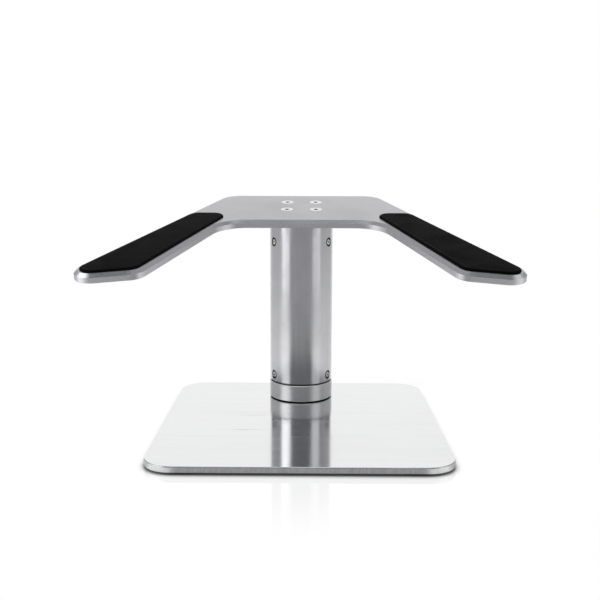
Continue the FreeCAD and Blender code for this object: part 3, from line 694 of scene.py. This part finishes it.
def bright_screw_finish():
    """Bright plated steel, with shade painted dark down in its sockets and in the gaps round its heads."""
    dull = (0.93, 0.93, 0.94)
    bright = (0.97, 0.97, 0.97)
    dark = (0.01, 0.01, 0.011)
    finish = Finish("bright_screw", 1.0)
    grain = finish.effect(fine_grain, Size=0.5 * MM)
    edge = finish.edge(0.2 * MM)
    # Painted shade: ambient occlusion darkens and roughens the sockets and the gaps round the heads.
    crevice_shade = finish.group(crevices, Reach=3 * MM, Start=0.95).outputs["Crevice"]
    colour = finish.blend(grain["Mottle"], dull, bright)
    colour = finish.blend(edge, colour, bright)
    colour = finish.blend(crevice_shade, colour, dark)
    roughness = finish.vary(0.1, (grain["Grain"], 0.05), (grain["Mottle"], 0.03), (crevice_shade, 0.4))
    return finish.dress(colour, roughness, grain["Grain"], 0.001 * MM)


def black_acetal_finish():
    """Smooth black bearing plastic with faint turning marks."""
    deep_black = (0.008, 0.008, 0.008)
    turned_black = (0.016, 0.016, 0.016)
    finish = Finish("black_acetal", 0.0, Specular_IOR_Level=0.35)
    lines = finish.effect(drawn_lines, Density=(900, 900, 900))["Lines"]
    colour = finish.blend(lines, deep_black, turned_black)
    roughness = finish.vary(0.42, (lines, 0.08))
    return finish.dress(colour, roughness, lines, 0.002 * MM)


def spring_steel_finish():
    """Oiled dark spring steel."""
    oiled = (0.3, 0.29, 0.29)
    bare = (0.42, 0.41, 0.42)
    rubbed = (0.6, 0.6, 0.6)
    finish = Finish("spring_steel", 1.0)
    grain = finish.effect(fine_grain, Size=0.6 * MM)
    edge = finish.edge(0.2 * MM)
    colour = finish.blend(grain["Mottle"], oiled, bare)
    colour = finish.blend(edge, colour, rubbed)
    roughness = finish.vary(0.28, (grain["Mottle"], 0.1))
    return finish.dress(colour, roughness, grain["Grain"], 0.002 * MM)


def bearing_bronze_finish():
    """Sintered bronze, slightly blotched by its oil."""
    dull_grain = (0.5, 0.34, 0.16)
    bright_grain = (0.68, 0.49, 0.26)
    oiled = (0.42, 0.28, 0.13)
    finish = Finish("bearing_bronze", 1.0)
    grain = finish.effect(fine_grain, Size=0.4 * MM)["Grain"]
    marks = finish.effect(handling_marks, Size=8 * MM)["Marks"]
    colour = finish.blend(grain, dull_grain, bright_grain)
    colour = finish.blend(finish.part_of(marks, 0.5), colour, oiled)
    roughness = finish.vary(0.3, (grain, 0.12))
    return finish.dress(colour, roughness, grain, 0.004 * MM)


finishes = {
    "brushed_base": brushed_plate_finish(),
    "satin_column": satin_column_finish(),
    "satin_cradle": blasted_cradle_finish(),
    "black_rubber": moulded_rubber_finish(),
    "bright_screw": bright_screw_finish(),
    "black_washer": black_acetal_finish(),
    "spring_steel": spring_steel_finish(),
    "bush_bronze": bearing_bronze_finish(),
}
turned_collar = turned_collar_finish()
TURNED_NODES = ("fixed_collar", "swivel_hub", "tube_head_plug")


def finish_nodes():
    """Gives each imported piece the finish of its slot; the turned pieces keep their turning marks."""
    for part in record["subparts"]:
        own = turned_collar if part["node"] in TURNED_NODES else finishes[part["material_slot"]]
        nodes[part["node"]].material_slots[0].material = own


# Rubber pieces

SHARP_ANGLE = math.radians(35)


def new_piece(name, body, slot, node, mesh):
    """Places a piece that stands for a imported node, on its body and with its slot's finish."""
    mesh.materials.append(finishes[slot])
    piece = bpy.data.objects.new(name, mesh)
    bpy.context.collection.objects.link(piece)
    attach(piece, body)
    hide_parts(node)


def skin_walls(name, walls):
    """A closed mesh. Each wall is a stack of rings of points, and a flat face joins all their ends."""
    grid = bmesh.new()
    rims = ([], [])
    for rings in walls:
        loops = [[grid.verts.new(point) for point in ring] for ring in rings]
        for lower, upper in zip(loops, loops[1:]):
            for number in range(len(lower)):
                grid.faces.new((lower[number - 1], lower[number], upper[number], upper[number - 1]))
        for rim, loop in zip(rims, (loops[0], loops[-1])):
            rim += [grid.edges.get((loop[number - 1], loop[number])) for number in range(len(loop))]
    for rim in rims:
        bmesh.ops.triangle_fill(grid, use_beauty=True, edges=rim)
    bmesh.ops.recalc_face_normals(grid, faces=grid.faces)
    for face in grid.faces:
        face.smooth = True
    mesh = bpy.data.meshes.new(name)
    grid.to_mesh(mesh)
    grid.free()
    mesh.set_sharp_from_angle(angle=SHARP_ANGLE)
    return mesh


def quarter_round(height, radius, steps):
    """Points of a rounded upper edge, as pairs of inset from the side and height."""
    for step in range(steps + 1):
        angle = math.pi / 2 * step / steps
        yield radius * (1 - math.cos(angle)), height - radius * (1 - math.sin(angle))


PAD_EDGE = 1.1 * MM
PAD_CROWN = 0.12 * MM
PAD_FOOT_EDGE = 0.3 * MM
PAD_EDGE_STEPS = 8
PAD_BORDER = 1.9 * MM
PAD_STEP = 0.3 * MM
PAD_STEP_SLOPE = 0.12 * MM
PAD_INNER_INSETS = (3 * MM, 4 * MM, 5 * MM)
PAD_FOOT_SLACK = 0.01 * MM
POINT_DIGITS = 6
LEAST_SLANT = 0.5


def pad_outline(node, to_pad):
    """The pad's outline in order, its foot and its top, in its own frame. It has no hollow corner."""
    points = [to_pad @ vertex.co for vertex in nodes[node].data.vertices]
    foot = min(point.z for point in points)
    top = max(point.z for point in points)
    at_foot = [point for point in points if point.z < foot + PAD_FOOT_SLACK]
    around = {(round(point.x, POINT_DIGITS), round(point.y, POINT_DIGITS)) for point in at_foot}
    middle = sum((Vector(point) for point in around), Vector((0, 0))) / len(around)
    ordered = sorted(around, key=lambda point: math.atan2(point[1] - middle.y, point[0] - middle.x))
    return [Vector(point) for point in ordered], foot, top


def inset_outline(outline, distance):
    """The outline moved inwards by a distance, each point along the middle of its two edges' normals."""
    moved = []
    count = len(outline)
    for number, point in enumerate(outline):
        before = (point - outline[number - 1]).normalized()
        after = (outline[(number + 1) % count] - point).normalized()
        inward = Vector((-before.y - after.y, before.x + after.x)).normalized()
        slant = max(inward.dot(Vector((-before.y, before.x))), LEAST_SLANT)
        moved.append(point + inward * (distance / slant))
    return moved


def make_pad(side):
    """A moulded pad in the arm's recess: rounded at its edge, with a border a step below its crown."""
    node = "pad_%s" % side
    mount = next(m for m in record["mounts"] if m["name"] == "%s_pad_top" % side)
    up = Vector(mount["axis"]).normalized()
    right = Vector((1, 0, 0))
    from_pad = Matrix((right, up.cross(right), up)).transposed().to_4x4()
    from_pad.translation = Vector(mount["pos_m"])
    outline, foot, top = pad_outline(node, from_pad.inverted())
    shoulder = top - foot - PAD_CROWN - PAD_STEP
    profile = [(PAD_FOOT_EDGE, 0), (0, PAD_FOOT_EDGE)]
    profile += quarter_round(shoulder, PAD_EDGE, PAD_EDGE_STEPS)
    profile += [(PAD_BORDER, shoulder), (PAD_BORDER + PAD_STEP_SLOPE, shoulder + PAD_STEP)]
    for number, inset in enumerate(PAD_INNER_INSETS, start=1):
        profile.append((inset, shoulder + PAD_STEP + PAD_CROWN * number / len(PAD_INNER_INSETS)))
    rings = []
    for inset, level in profile:
        rings.append([from_pad @ Vector((p.x, p.y, foot + level)) for p in inset_outline(outline, inset)])
    mesh = skin_walls(node + "_moulded", [rings])
    new_piece("%s_rubber_pad" % side, "swivel", "black_rubber", node, mesh)


def turned_rings(profile, middle, turns):
    """A ring of points about an upright axis for each pair of radius and height."""
    angles = [2 * math.pi * turn / turns for turn in range(turns)]
    return [[Vector((middle.x + r * math.cos(a), middle.y + r * math.sin(a), level)) for a in angles]
            for r, level in profile]


FOOT_TURNS = 72
FOOT_EDGE = 0.6 * MM
FOOT_EDGE_STEPS = 6
FOOT_HOLLOW = 0.35 * MM
FOOT_RIM = 3.2 * MM
FOOT_MIDDLE = 1.2 * MM
FOOT_TOP_EDGE = 0.25 * MM


def make_foot(place):
    """A round rubber foot with a hollowed sole inside a rounded rim."""
    node = "foot_%s" % place
    low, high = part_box(node)
    radius = (high.x - low.x) / 2
    hollow_edge = radius - FOOT_RIM
    profile = [
        (FOOT_MIDDLE, low.z + FOOT_HOLLOW),
        (hollow_edge - FOOT_HOLLOW, low.z + FOOT_HOLLOW),
        (hollow_edge, low.z),
    ]
    # The rounded edge is turned over: it falls below 0 here, and rises from the sole on the foot.
    rounded_edge = list(quarter_round(0, FOOT_EDGE, FOOT_EDGE_STEPS))
    profile += [(radius - inset, low.z - fall) for inset, fall in reversed(rounded_edge)]
    profile += [
        (radius, high.z - FOOT_TOP_EDGE),
        (radius - FOOT_TOP_EDGE, high.z),
        (FOOT_MIDDLE, high.z),
    ]
    rings = turned_rings(profile, (low + high) / 2, FOOT_TURNS)
    mesh = skin_walls(node + "_moulded", [rings])
    new_piece("%s_rubber_foot" % place, "base", "black_rubber", node, mesh)


GASKET_TURNS = 128
GASKET_BULGE_STEPS = 6
HOLE_TURNS = 32
RIM_SLACK = 0.1 * MM


def gasket_holes():
    """The middle and radius of each screw hole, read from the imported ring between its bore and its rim."""
    places = [vertex.co - AXIS for vertex in nodes["base_gasket"].data.vertices]
    reaches = [place.xy.length for place in places]
    bore_reach = min(reaches) + RIM_SLACK
    rim_reach = max(reaches) - RIM_SLACK
    hole_spread = rim_reach / 2
    on_holes = [place for place, reach in zip(places, reaches) if bore_reach < reach < rim_reach]
    holes = []
    while on_holes:
        near = [place for place in on_holes if (place - on_holes[0]).xy.length < hole_spread]
        on_holes = [place for place in on_holes if place not in near]
        middle = Vector([(min(p[axis] for p in near) + max(p[axis] for p in near)) / 2 for axis in (0, 1)])
        holes.append((AXIS.xy + middle, max((p.xy - middle).length for p in near)))
    return holes


def make_gasket():
    """The ring under the collar, squeezed so that its edge bulges, with a hole for each collar screw."""
    low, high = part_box("base_gasket")
    reaches = [(vertex.co - AXIS).xy.length for vertex in nodes["base_gasket"].data.vertices]
    bulge = (high.z - low.z) / 2
    rim = []
    for step in range(GASKET_BULGE_STEPS + 1):
        angle = math.pi * (step / GASKET_BULGE_STEPS - 0.5)
        rim.append((max(reaches) - bulge * (1 - math.cos(angle)), low.z + bulge * (1 + math.sin(angle))))
    walls = [turned_rings(rim, AXIS, GASKET_TURNS)]
    openings = [(AXIS, min(reaches), GASKET_TURNS)]
    openings += [(middle, radius, HOLE_TURNS) for middle, radius in gasket_holes()]
    for middle, radius, turns in openings:
        walls.append(turned_rings([(radius, low.z), (radius, high.z)], middle, turns))
    new_piece("collar_gasket", "base", "black_rubber", "base_gasket", skin_walls("gasket_moulded", walls))


set_camera()
set_world()
add_strips()
add_softbox("top_box", Vector((0, 0, TOP_BOX_HEIGHT)), ORIGIN, TOP_BOX_SIZE, TOP_BOX_SIZE, TOP_BOX_GLOW)
make_table()
finish_nodes()
for side in ("left", "right"):
    make_pad(side)
for place in ("front_left", "front_right", "rear_left", "rear_right"):
    make_foot(place)
make_gasket()

bpy.context.scene.view_settings.view_transform = "Standard"
